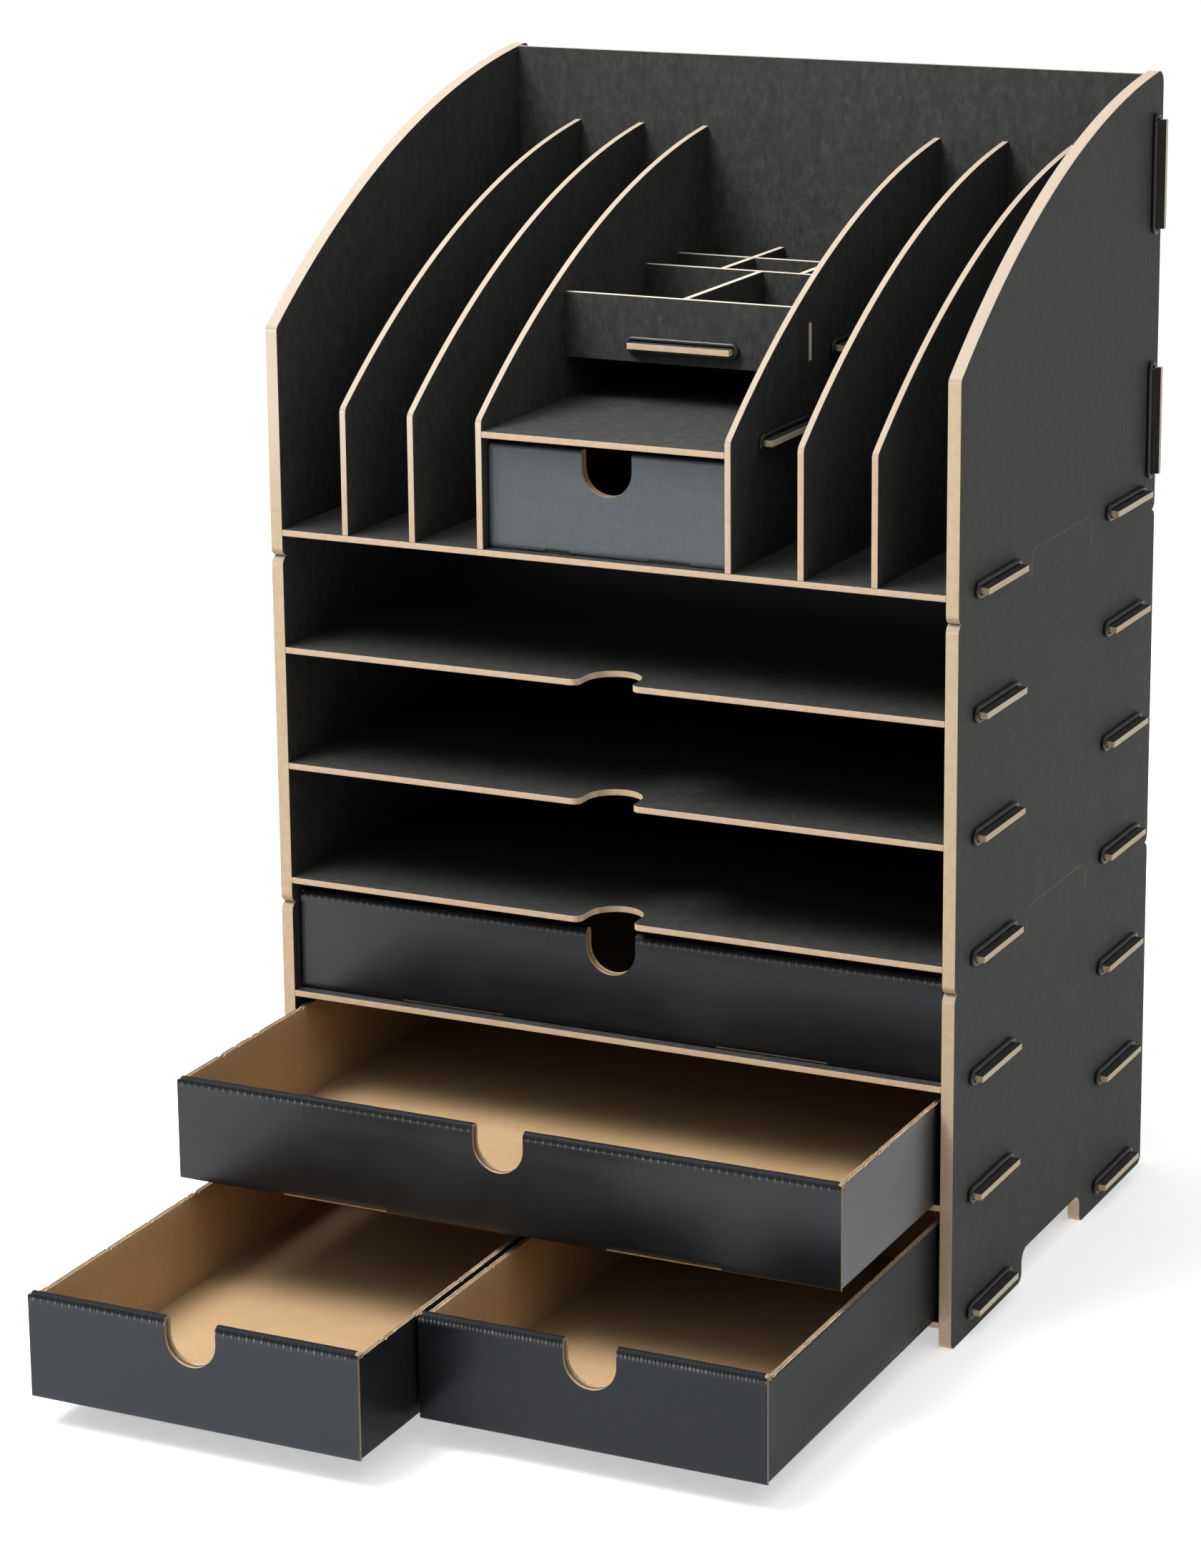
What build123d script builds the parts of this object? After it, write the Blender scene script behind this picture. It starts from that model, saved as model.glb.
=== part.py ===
"""Stacked desk organizer: a drawer box, a letter tray and a sorter, slotted together from black fibreboard.

The front faces -Y, +X is the right-hand side seen from the front, +Z is up and the floor is Z = 0. The
origin lies on the floor under the middle of the footprint, with the drawers pulled out as they stand. All
sizes are in millimetres. Depths are counted from the front edges of the sides.
"""
import os
from math import hypot, sqrt

from build123d import *

os.makedirs("parts", exist_ok=True)

# Case
case_width = 336.0
case_depth = 257.0
side_board = 6.0
board = 3.0
module_height = 165.5
shelf_names = ("low", "middle", "high")
shelf_rise = 12.8
corner_radius = 4.0

# Tongue on a side's top edge, between its tab slots, and the notch above it in the next side
tongue_from_tab = 20.4
tongue_height = 14.5
tongue_radius = 6.0
tongue_gap = 0.25

# Hooked tabs, their slots and the rubber rings round their necks
shelf_tab_width = 49.0
shelf_tab_from_end = 44.6
inner_tab_width = 51.0
tab_reach = 6.0
hook_depth = 1.0
slot_gap = 0.15
ring_cord = 2.2
ring_gap = 0.15

# Backs of the two lower modules, with the flush shelf tabs that hold them
lower_back_inset = 2.0
rear_tab_width = 51.0
rear_tab_from_end = 72.0

# Sorter sides, back and dividers
sorter_front_height = 105.7
sorter_rear_height = 209.2
top_arc_radius = 496.0
top_rear_radius = 6.0
sorter_back_inset = 10.0
back_tab_rise = 45.0
back_tab_drop = 47.7
divider_drop = 34.6
divider_names = ("inner", "outer")
floor_tab_width = 30.0
floor_tab_from_end = 60.0
divider_rear_tab_height = 40.0
divider_rear_tab_rise = 50.0

# Middle bay with its shelf
bay_width = 118.0
bay_clear_height = 50.7
bay_tab_from_end = 57.0

# Small-parts tray in the bay
parts_setback = 85.7
parts_rear_cell = 33.0
parts_clear_below = 26.0
parts_depth = 20.5
parts_front_overhang = 6.7
rear_partition_names = ("left", "right")
parts_side_tab_setback = 48.8
parts_front_tab_height = 17.0
cross_tab_height = 10.0
partition_tab_width = 20.0

# Finger notches: a straight stretch that ends in a half circle
shelf_notch_width = 26.0
shelf_notch_straight_length = 9.5
shelf_notch_lead = 4.0
drawer_notch_width = 24.4
drawer_notch_straight_length = 8.3

# Folded card drawers
card = 1.6
drawer_wall = 2.8
drawer_front = 5.0
drawer_recess = 5.0
drawer_rear_gap = 1.0
drawer_side_gap = 1.5
drawer_top_gap = 3.97
half_drawer_gap = 2.0
small_drawer_side_gap = 1.0
small_drawer_top_gap = 2.5
drawer_lift = 0.2

# Length of each open drawer that is still inside the case
wide_lower_held = 137.0
half_left_held = 12.0
half_right_held = 60.5

# Values that follow from the sizes above
inner_width = case_width - 2 * side_board
shelf_levels = len(shelf_names)
shelf_pitch = module_height / shelf_levels
shelf_tab_depths = (shelf_tab_from_end, case_depth - shelf_tab_from_end)
tongue_width = case_depth - 2 * (shelf_tab_from_end + shelf_tab_width / 2 + tongue_from_tab)
rear_tab_spacing = inner_width - 2 * rear_tab_from_end
neck_length = ring_cord + 2 * ring_gap
ring_radius = board / 2 + ring_gap + ring_cord / 2
lower_back_rear = case_depth - lower_back_inset
lower_back_front = lower_back_rear - board
closed_drawer_rear = lower_back_front - drawer_rear_gap
wide_lower_pull = closed_drawer_rear - wide_lower_held
half_left_pull = closed_drawer_rear - half_left_held
half_right_pull = closed_drawer_rear - half_right_held
longest_pull = max(wide_lower_pull, half_left_pull, half_right_pull)
front_y = (longest_pull - drawer_recess - case_depth) / 2
drawer_height = shelf_pitch - board - drawer_lift - drawer_top_gap
wide_drawer_width = inner_width - 2 * drawer_side_gap
half_drawer_width = (wide_drawer_width - half_drawer_gap) / 2
half_drawer_middle = (half_drawer_width + half_drawer_gap) / 2
small_drawer_width = bay_width - 2 * small_drawer_side_gap
small_drawer_height = bay_clear_height - drawer_lift - small_drawer_top_gap
sorter_back_rear = case_depth - sorter_back_inset
sorter_back_front = sorter_back_rear - board
sorter_base = 2 * module_height
sorter_floor_top = sorter_base + shelf_rise
back_tab_heights = (sorter_base + back_tab_rise, sorter_base + sorter_rear_height - back_tab_drop)
divider_pitch = (inner_width - bay_width) / 2 / (len(divider_names) + 1)
bay_wall_middle = (bay_width + board) / 2
bay_shelf_low = sorter_floor_top + bay_clear_height
parts_floor_low = bay_shelf_low + board + parts_clear_below
parts_floor_top = parts_floor_low + board
parts_top = parts_floor_top + parts_depth
parts_front_rear = parts_setback + board
parts_rear_rear = sorter_back_front - parts_rear_cell
parts_rear_front = parts_rear_rear - board
parts_middle_rear = parts_rear_front - parts_rear_cell
parts_middle_front = parts_middle_rear - board
parts_front_length = parts_middle_front - parts_front_rear
parts_side_tab_depth = parts_front_rear + parts_side_tab_setback
rear_column_pitch = (bay_width + board) / (len(rear_partition_names) + 1)
front_tab_middle = (parts_floor_low - parts_front_overhang + parts_top) / 2
cross_tab_middle = (parts_floor_top + parts_top) / 2
front_partition_middle = (parts_front_rear + parts_middle_front) / 2
rear_partition_tab_depth = (parts_middle_rear + parts_rear_front) / 2
floor_tab_depths = (floor_tab_from_end, sorter_back_front - floor_tab_from_end)
bay_tab_depths = (bay_tab_from_end, sorter_back_front - bay_tab_from_end)
divider_places = [bay_wall_middle + (step + 1) * divider_pitch for step in range(len(divider_names))]
all_divider_places = [sign * place for sign in (-1, 1) for place in (bay_wall_middle, *divider_places)]

# Circle through the front and rear corners of the sorter sides' curved top
sorter_rise = sorter_rear_height - sorter_front_height
chord = hypot(case_depth, sorter_rise)
chord_middle_height = sorter_base + (sorter_front_height + sorter_rear_height) / 2
centre_distance = sqrt(top_arc_radius**2 - chord**2 / 4)
arc_centre_depth = case_depth / 2 + centre_distance * sorter_rise / chord
arc_centre_height = chord_middle_height - centre_distance * case_depth / chord


def top_edge(depth):
    """Height of the sorter sides' curved top edge at a depth."""
    return arc_centre_height + sqrt(top_arc_radius**2 - (depth - arc_centre_depth) ** 2)


def shelf_top(module, level):
    """Height of a shelf's upper face, counting modules and levels from the bottom."""
    return module * module_height + shelf_rise + level * shelf_pitch


def level_plane(height):
    """Level plane at a height, with its origin at the middle of the case's front."""
    return Plane(origin=(0, front_y, height), x_dir=(1, 0, 0), z_dir=(0, 0, 1))


def upright_plane(x):
    """Plane that stands front to back: its first axis runs to the rear and its second one up."""
    return Plane(origin=(x, front_y, 0), x_dir=(0, 1, 0), z_dir=(1, 0, 0))


def cross_plane(depth):
    """Plane that stands side to side and faces the front: its first axis runs right and its second one up."""
    return Plane(origin=(0, front_y + depth, 0), x_dir=(1, 0, 0), z_dir=(0, -1, 0))


def hooked_tab(x, y, turn, wall, width):
    """Tab on a board's edge: through a wall, then a neck for its ring, then a head. Turn is its direction."""
    with Locations(Location((x, y, 0), (0, 0, turn))):
        with Locations(((wall + tab_reach) / 2, 0)):
            Rectangle(wall + tab_reach, width)
        with GridLocations(0, width - hook_depth, 1, 2):
            with Locations((wall + neck_length / 2, 0)):
                Rectangle(neck_length, hook_depth, mode=Mode.SUBTRACT)


def slot(width, height):
    """Slot that takes a tab of this size with clearance all round."""
    Rectangle(width + 2 * slot_gap, height + 2 * slot_gap, mode=Mode.SUBTRACT)


def u_notch(width, straight, turn, mode):
    """Round-bottomed notch that starts at the current place and points along turn."""
    with Locations(Location((0, 0, 0), (0, 0, turn))):
        Rectangle(2 * straight, width, mode=mode)
        with Locations((straight, 0)):
            Circle(width / 2, mode=mode)


def make_shelf(name, top, depth, rear_tabs, notched):
    """Shelf between the sides with hooked tabs through them, flush tabs in the back and a finger notch."""
    with BuildPart() as shelf:
        with BuildSketch(level_plane(top - board)) as outline:
            with Locations((0, depth / 2)):
                Rectangle(inner_width, depth)
            for tab_depth in shelf_tab_depths:
                hooked_tab(inner_width / 2, tab_depth, 0, side_board, shelf_tab_width)
                hooked_tab(-inner_width / 2, tab_depth, 180, side_board, shelf_tab_width)
            if rear_tabs:
                with Locations((0, depth + board / 2)):
                    with GridLocations(rear_tab_spacing, 0, 2, 1):
                        Rectangle(rear_tab_width, board)
            if notched:
                u_notch(shelf_notch_width, shelf_notch_straight_length, 90, Mode.SUBTRACT)
                fillet(outline.vertices().group_by(Axis.Y)[0].sort_by(Axis.X)[1:3], shelf_notch_lead)
        extrude(amount=board)
    shelf.part.label = name
    export_step(shelf.part, f"parts/{name}.step")


def cut_seam_notch(outline, base):
    """Notch in a side's lower edge, for the tongue of the side below or between the feet."""
    with Locations((case_depth / 2, base)):
        RectangleRounded(
            tongue_width + 2 * tongue_gap,
            2 * (tongue_height + tongue_gap),
            tongue_radius + tongue_gap,
            mode=Mode.SUBTRACT,
        )
    fillet(outline.vertices().group_by(Axis.Y)[0].sort_by(Axis.X)[1:3], corner_radius)


def make_lower_side(name, module, low_x):
    """Side of the drawer box or the letter tray, with its low face at low_x."""
    base = module * module_height
    top = base + module_height
    with BuildPart() as side:
        with BuildSketch(upright_plane(low_x)) as outline:
            with Locations((case_depth / 2, base + module_height / 2)):
                RectangleRounded(case_depth, module_height, corner_radius)
            cut_seam_notch(outline, base)
            with Locations((case_depth / 2, top)):
                RectangleRounded(tongue_width, 2 * tongue_height, tongue_radius)
            shoulder = outline.vertices().group_by(Axis.Y)[-3]
            fillet(shoulder.sort_by(Axis.X)[1:3], corner_radius)
            for shelf_level in range(shelf_levels):
                for tab_depth in shelf_tab_depths:
                    with Locations((tab_depth, shelf_top(module, shelf_level) - board / 2)):
                        slot(shelf_tab_width, board)
        extrude(amount=side_board)
    side.part.label = name
    export_step(side.part, f"parts/{name}.step")


def make_lower_back(name, module):
    """Back of a lower module, standing on its lowest shelf behind the other two."""
    low = shelf_top(module, 0)
    high = (module + 1) * module_height
    with BuildPart() as back:
        with BuildSketch(cross_plane(lower_back_rear)):
            with Locations((0, (low + high) / 2)):
                Rectangle(inner_width, high - low)
            for shelf_level in range(1, shelf_levels):
                with Locations((0, shelf_top(module, shelf_level) - board / 2)):
                    with GridLocations(rear_tab_spacing, 0, 2, 1):
                        slot(rear_tab_width, board)
        extrude(amount=board)
    back.part.label = name
    export_step(back.part, f"parts/{name}.step")


def make_sorter_side(name, low_x):
    """Side of the sorter, with a curved top that rises to the rear."""
    with BuildPart() as side:
        with BuildSketch(upright_plane(low_x)) as outline:
            with BuildLine():
                front = Line((0, sorter_base), (0, sorter_base + sorter_front_height))
                top = RadiusArc(front @ 1, (case_depth, sorter_base + sorter_rear_height), top_arc_radius)
                Polyline(top @ 1, (case_depth, sorter_base), front @ 0)
            make_face()
            fillet(outline.vertices().group_by(Axis.Y)[0], corner_radius)
            fillet(outline.vertices().sort_by(Axis.Y)[-1], top_rear_radius)
            fillet(outline.vertices().group_by(Axis.X)[0].sort_by(Axis.Y)[-1], corner_radius)
            cut_seam_notch(outline, sorter_base)
            for tab_depth in shelf_tab_depths:
                with Locations((tab_depth, sorter_floor_top - board / 2)):
                    slot(shelf_tab_width, board)
            for tab_height in back_tab_heights:
                with Locations((sorter_back_front + board / 2, tab_height)):
                    slot(board, inner_tab_width)
        extrude(amount=side_board)
    side.part.label = name
    export_step(side.part, f"parts/{name}.step")


def make_divider(name, middle_x, is_bay_wall):
    """Divider with a curved top and flush tabs in the floor and back. The bay's walls have slots as well."""
    front_top = top_edge(0) - divider_drop
    rear_top = top_edge(sorter_back_front) - divider_drop
    with BuildPart() as divider:
        with BuildSketch(upright_plane(middle_x - board / 2)) as outline:
            with BuildLine():
                front = Line((0, sorter_floor_top), (0, front_top))
                top = RadiusArc(front @ 1, (sorter_back_front, rear_top), top_arc_radius)
                Polyline(top @ 1, (sorter_back_front, sorter_floor_top), front @ 0)
            make_face()
            fillet(outline.vertices().group_by(Axis.X)[0].sort_by(Axis.Y)[-1], corner_radius)
            with Locations(*[(tab_depth, sorter_floor_top - board / 2) for tab_depth in floor_tab_depths]):
                Rectangle(floor_tab_width, board)
            with Locations((sorter_back_front + board / 2, sorter_floor_top + divider_rear_tab_rise)):
                Rectangle(board, divider_rear_tab_height)
            if is_bay_wall:
                with Locations(*[(tab_depth, bay_shelf_low + board / 2) for tab_depth in bay_tab_depths]):
                    slot(inner_tab_width, board)
                with Locations((parts_side_tab_depth, parts_floor_low + board / 2)):
                    slot(inner_tab_width, board)
                with Locations((parts_setback + board / 2, front_tab_middle)):
                    slot(board, parts_front_tab_height)
                for cross_front in (parts_middle_front, parts_rear_front):
                    with Locations((cross_front + board / 2, cross_tab_middle)):
                        slot(board, cross_tab_height)
        extrude(amount=board)
    divider.part.label = name
    export_step(divider.part, f"parts/{name}.step")


def make_drawer(name, middle_x, width, height, closed_rear, shelf, pull):
    """Open-topped card drawer with a double front and a finger notch, pulled out of its closed place."""
    front = drawer_recess - pull
    depth = closed_rear - drawer_recess
    low = shelf + drawer_lift
    with BuildPart() as drawer:
        with BuildSketch(level_plane(low)):
            with Locations((middle_x, front + depth / 2)):
                Rectangle(width, depth)
        extrude(amount=height)
        with BuildSketch(level_plane(low + card)):
            with Locations((middle_x, front + (depth + drawer_front - drawer_wall) / 2)):
                Rectangle(width - 2 * drawer_wall, depth - drawer_front - drawer_wall)
        extrude(amount=height, mode=Mode.SUBTRACT)
        with BuildSketch(cross_plane(front + drawer_front)):
            with Locations((middle_x, low + height)):
                u_notch(drawer_notch_width, drawer_notch_straight_length, -90, Mode.ADD)
        extrude(amount=drawer_front, mode=Mode.SUBTRACT)
    drawer.part.label = name
    export_step(drawer.part, f"parts/{name}.step")


def make_ring(tab_width):
    """Rubber ring round a tab's neck, lying in the XY plane with the tab's width along X."""
    half = tab_width / 2 - hook_depth
    with BuildPart() as ring:
        with BuildLine() as loop:
            upper = Line((-half, ring_radius), (half, ring_radius))
            CenterArc((half, 0), ring_radius, 90, -180)
            Line((half, -ring_radius), (-half, -ring_radius))
            CenterArc((-half, 0), ring_radius, 270, -180)
        with BuildSketch(Plane(origin=upper @ 0, z_dir=upper % 0)):
            Circle(ring_cord / 2)
        sweep(path=loop.wires()[0])
    return ring.part


def ring_plane(x, depth, height, x_dir, out_dir):
    """Plane of a ring that lies against a wall's face at a point, with x_dir along the tab's width."""
    stand_off = ring_gap + ring_cord / 2
    point = Vector(x, front_y + depth, height) + Vector(*out_dir) * stand_off
    return Plane(origin=point, x_dir=x_dir, z_dir=out_dir)


def side_ring_planes(face_x, depths, heights, x_dir):
    """Planes of the rings on both walls whose outer faces lie at plus and minus face_x."""
    planes = []
    for sign in (-1, 1):
        for depth in depths:
            for height in heights:
                planes.append(ring_plane(sign * face_x, depth, height, x_dir, (sign, 0, 0)))
    return planes


# Sides of the three modules
for side_name, low_x in (("left", -case_width / 2), ("right", inner_width / 2)):
    make_lower_side(f"drawer_box_side_{side_name}", 0, low_x)
    make_lower_side(f"tray_side_{side_name}", 1, low_x)
    make_sorter_side(f"sorter_side_{side_name}", low_x)

# Shelves and backs of the drawer box and the letter tray
for module, module_name in enumerate(("drawer_box", "tray")):
    for shelf_level, level_name in enumerate(shelf_names):
        lowest = shelf_level == 0
        make_shelf(
            f"{module_name}_shelf_{level_name}",
            shelf_top(module, shelf_level),
            lower_back_rear if lowest else lower_back_front,
            not lowest,
            module_name == "tray",
        )
    make_lower_back(f"{module_name}_back", module)

# Floor of the sorter, with slots for the dividers
with BuildPart() as sorter_floor:
    with BuildSketch(level_plane(sorter_floor_top - board)):
        with Locations((0, sorter_back_rear / 2)):
            Rectangle(inner_width, sorter_back_rear)
        for tab_depth in shelf_tab_depths:
            hooked_tab(inner_width / 2, tab_depth, 0, side_board, shelf_tab_width)
            hooked_tab(-inner_width / 2, tab_depth, 180, side_board, shelf_tab_width)
        for tab_depth in floor_tab_depths:
            with Locations(*[(place, tab_depth) for place in all_divider_places]):
                slot(board, floor_tab_width)
    extrude(amount=board)
sorter_floor.part.label = "sorter_floor"
export_step(sorter_floor.part, "parts/sorter_floor.step")

# Back of the sorter, standing on the floor, with hooked tabs through the sides and slots for the dividers
with BuildPart() as sorter_back:
    back_top = top_edge(sorter_back_front)
    with BuildSketch(cross_plane(sorter_back_rear)):
        with Locations((0, (sorter_floor_top + back_top) / 2)):
            Rectangle(inner_width, back_top - sorter_floor_top)
        for tab_height in back_tab_heights:
            hooked_tab(inner_width / 2, tab_height, 0, side_board, inner_tab_width)
            hooked_tab(-inner_width / 2, tab_height, 180, side_board, inner_tab_width)
        with Locations(*[(place, sorter_floor_top + divider_rear_tab_rise) for place in all_divider_places]):
            slot(board, divider_rear_tab_height)
    extrude(amount=board)
sorter_back.part.label = "sorter_back"
export_step(sorter_back.part, "parts/sorter_back.step")

# Dividers on both sides of the bay, and the bay's own walls
for sign, side_name in ((-1, "left"), (1, "right")):
    make_divider(f"bay_wall_{side_name}", sign * bay_wall_middle, True)
    for step_name, place in zip(divider_names, divider_places):
        make_divider(f"divider_{side_name}_{step_name}", sign * place, False)

# Shelf over the small drawer, with hooked tabs through the bay walls
with BuildPart() as bay_shelf:
    with BuildSketch(level_plane(bay_shelf_low)):
        with Locations((0, sorter_back_front / 2)):
            Rectangle(bay_width, sorter_back_front)
        for tab_depth in bay_tab_depths:
            hooked_tab(bay_width / 2, tab_depth, 0, board, inner_tab_width)
            hooked_tab(-bay_width / 2, tab_depth, 180, board, inner_tab_width)
    extrude(amount=board)
bay_shelf.part.label = "bay_shelf"
export_step(bay_shelf.part, "parts/bay_shelf.step")

# Floor of the small-parts tray, with hooked tabs at both sides and the front, and slots for the partitions
with BuildPart() as parts_tray_floor:
    with BuildSketch(level_plane(parts_floor_low)):
        with Locations((0, (parts_front_rear + sorter_back_front) / 2)):
            Rectangle(bay_width, sorter_back_front - parts_front_rear)
        hooked_tab(bay_width / 2, parts_side_tab_depth, 0, board, inner_tab_width)
        hooked_tab(-bay_width / 2, parts_side_tab_depth, 180, board, inner_tab_width)
        hooked_tab(0, parts_front_rear, -90, board, inner_tab_width)
        with Locations((0, front_partition_middle)):
            slot(board, partition_tab_width)
        with Locations((0, rear_partition_tab_depth)):
            with GridLocations(rear_column_pitch, 0, len(rear_partition_names), 1):
                slot(board, partition_tab_width)
    extrude(amount=board)
parts_tray_floor.part.label = "parts_tray_floor"
export_step(parts_tray_floor.part, "parts/parts_tray_floor.step")

# Front board of the small-parts tray, with flush tabs in the bay walls and a slot for the floor's front tab
with BuildPart() as parts_tray_front:
    with BuildSketch(cross_plane(parts_front_rear)):
        with Locations((0, front_tab_middle)):
            Rectangle(bay_width, parts_top - parts_floor_low + parts_front_overhang)
            Rectangle(bay_width + 2 * board, parts_front_tab_height)
        with Locations((0, parts_floor_low + board / 2)):
            slot(inner_tab_width, board)
    extrude(amount=board)
parts_tray_front.part.label = "parts_tray_front"
export_step(parts_tray_front.part, "parts/parts_tray_front.step")

# Cross boards of the small-parts tray: the rear one is cut from above to cross the partitions
for name, rear_depth in (("parts_tray_middle", parts_middle_rear), ("parts_tray_rear", parts_rear_rear)):
    with BuildPart() as cross_board:
        with BuildSketch(cross_plane(rear_depth)):
            with Locations((0, cross_tab_middle)):
                Rectangle(bay_width, parts_depth)
                Rectangle(bay_width + 2 * board, cross_tab_height)
            if name == "parts_tray_rear":
                with Locations((0, parts_top)):
                    with GridLocations(rear_column_pitch, 0, len(rear_partition_names), 1):
                        slot(board, parts_depth)
        extrude(amount=board)
    cross_board.part.label = name
    export_step(cross_board.part, f"parts/{name}.step")

# Partition between the front board and the middle board, with a flush tab in the floor
with BuildPart() as front_partition:
    with BuildSketch(upright_plane(-board / 2)):
        with Locations((front_partition_middle, cross_tab_middle)):
            Rectangle(parts_front_length, parts_depth)
        with Locations((front_partition_middle, parts_floor_low + board / 2)):
            Rectangle(partition_tab_width, board)
    extrude(amount=board)
front_partition.part.label = "parts_partition_front"
export_step(front_partition.part, "parts/parts_partition_front.step")

# Partitions between the middle board and the back, cut from below to cross the rear board
for column, column_name in enumerate(rear_partition_names):
    partition_x = (column + 1) * rear_column_pitch - bay_wall_middle
    with BuildPart() as rear_partition:
        with BuildSketch(upright_plane(partition_x - board / 2)):
            with Locations(((parts_middle_rear + sorter_back_front) / 2, cross_tab_middle)):
                Rectangle(sorter_back_front - parts_middle_rear, parts_depth)
            with Locations((rear_partition_tab_depth, parts_floor_low + board / 2)):
                Rectangle(partition_tab_width, board)
            with Locations((parts_rear_front + board / 2, parts_floor_top)):
                slot(board, parts_depth)
        extrude(amount=board)
    rear_partition.part.label = f"parts_partition_{column_name}"
    export_step(rear_partition.part, f"parts/parts_partition_{column_name}.step")

# Drawers of the box: a closed one on the top shelf, an open one below and two open halves at the bottom
for name, shelf_level, pull in (("wide_drawer_upper", 2, 0), ("wide_drawer_lower", 1, wide_lower_pull)):
    shelf = shelf_top(0, shelf_level)
    make_drawer(name, 0, wide_drawer_width, drawer_height, closed_drawer_rear, shelf, pull)
for name, sign, pull in (("half_drawer_left", -1, half_left_pull), ("half_drawer_right", 1, half_right_pull)):
    middle_x = sign * half_drawer_middle
    shelf = shelf_top(0, 0)
    make_drawer(name, middle_x, half_drawer_width, drawer_height, closed_drawer_rear, shelf, pull)

# Small closed drawer in the bay
small_rear = sorter_back_front - drawer_rear_gap
make_drawer("small_drawer", 0, small_drawer_width, small_drawer_height, small_rear, sorter_floor_top, 0)

# Rubber rings round the hooked tabs
shelf_ring = make_ring(shelf_tab_width)
inner_ring = make_ring(inner_tab_width)
case_face = case_width / 2
bay_face = bay_width / 2 + board
for module, module_name in enumerate(("drawer_box", "tray")):
    heights = [shelf_top(module, shelf_level) - board / 2 for shelf_level in range(shelf_levels)]
    with BuildPart() as rings:
        with Locations(*side_ring_planes(case_face, shelf_tab_depths, heights, (0, 1, 0))):
            add(shelf_ring)
    rings.part.label = f"{module_name}_rings"
    export_step(rings.part, f"parts/{module_name}_rings.step")

sorter_floor_middle = sorter_floor_top - board / 2
sorter_back_middle = sorter_back_front + board / 2
with BuildPart() as sorter_rings:
    with Locations(*side_ring_planes(case_face, shelf_tab_depths, [sorter_floor_middle], (0, 1, 0))):
        add(shelf_ring)
    with Locations(*side_ring_planes(case_face, [sorter_back_middle], back_tab_heights, (0, 0, 1))):
        add(inner_ring)
sorter_rings.part.label = "sorter_rings"
export_step(sorter_rings.part, "parts/sorter_rings.step")

bay_shelf_middle = bay_shelf_low + board / 2
parts_floor_middle = parts_floor_low + board / 2
with BuildPart() as bay_rings:
    with Locations(*side_ring_planes(bay_face, bay_tab_depths, [bay_shelf_middle], (0, 1, 0))):
        add(inner_ring)
    with Locations(*side_ring_planes(bay_face, [parts_side_tab_depth], [parts_floor_middle], (0, 1, 0))):
        add(inner_ring)
    with Locations(ring_plane(0, parts_setback, parts_floor_middle, (1, 0, 0), (0, -1, 0))):
        add(inner_ring)
bay_rings.part.label = "bay_rings"
export_step(bay_rings.part, "parts/bay_rings.step")
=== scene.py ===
"""Looks of a stacked desk organizer: a black board case in three modules, with five folded card drawers."""

import math
import random

import bmesh
import bpy
from mathutils import Matrix, Vector, noise


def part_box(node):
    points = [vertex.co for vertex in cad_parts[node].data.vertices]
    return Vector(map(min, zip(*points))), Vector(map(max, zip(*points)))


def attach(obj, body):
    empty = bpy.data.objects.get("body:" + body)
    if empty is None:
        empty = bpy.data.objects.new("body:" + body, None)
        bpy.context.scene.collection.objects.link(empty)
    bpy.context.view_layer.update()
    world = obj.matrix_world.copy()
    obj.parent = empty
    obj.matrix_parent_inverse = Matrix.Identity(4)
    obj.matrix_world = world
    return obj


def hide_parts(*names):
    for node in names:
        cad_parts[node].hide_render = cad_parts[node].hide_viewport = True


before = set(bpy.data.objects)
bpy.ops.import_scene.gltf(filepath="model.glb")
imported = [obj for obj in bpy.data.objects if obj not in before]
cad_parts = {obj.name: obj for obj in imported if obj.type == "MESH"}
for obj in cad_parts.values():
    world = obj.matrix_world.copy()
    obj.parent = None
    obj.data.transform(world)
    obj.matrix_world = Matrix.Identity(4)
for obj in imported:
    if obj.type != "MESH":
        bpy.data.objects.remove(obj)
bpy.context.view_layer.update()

# Camera that was fitted to the photograph: pixels, metres and degrees
image_height = 2194
focal_pixels = 6040.0
centre_offset_pixels = (50.0, -200.0)
camera_place = (0.8091, -1.6765, 0.7707)
camera_azimuth, camera_elevation, camera_roll = 25.462, 14.046, -0.437
sensor_width = 36.0

# Floor: half its width in metres, and its own glow, which keeps the background white and shadows faint
floor_half_width = 40.0
floor_glow = 0.5

# Soft square lights: place, size and power, and where they point
lights = {"overhead": ((-0.8, -0.6, 2.2), 1.2, 58.0), "front": ((-0.8, -1.2, 2.3), 1.0, 18.0)}
light_target = (0.0, -0.05, 0.25)

# Board edges are rounded a little, so that they catch light: metres and degrees
board_rim, weld_reach = 0.00025, 0.00001
flat_angle, rim_angle = 0.5, 35.0

# Boards by the axis of their black faces: how much painted shade darkens these, and how strong the painted
# highlight on the high left edges is
board_looks = {"X": (0.0, 0.8), "Y": (0.0, 0.0), "Z": (0.2, 0.0)}

# Raw board edges in metres: where the painted highlight starts and ends upwards and sideways, and where the
# painted light on level tops ends
highlight_heights, highlight_sides, lit_top_heights = (0.35, 0.40), (-0.02, 0.12), (0.455, 0.470)

# Depths of the bumps in the materials, in metres
board_bump, print_bump, kraft_bump, raw_card_bump, rubber_bump = 0.00012, 0.00006, 0.00006, 0.00015, 0.00005

# Board nodes by the axis that their black faces look along; every other face is a raw edge
faces_along = {
    "X": ("drawer_box_side", "tray_side", "sorter_side", "bay_wall", "divider", "parts_partition"),
    "Y": ("drawer_box_back", "tray_back", "sorter_back", "parts_tray_front", "parts_tray_middle",
          "parts_tray_rear"),
    "Z": ("drawer_box_shelf", "tray_shelf", "sorter_floor", "bay_shelf", "parts_tray_floor"),
}

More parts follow.
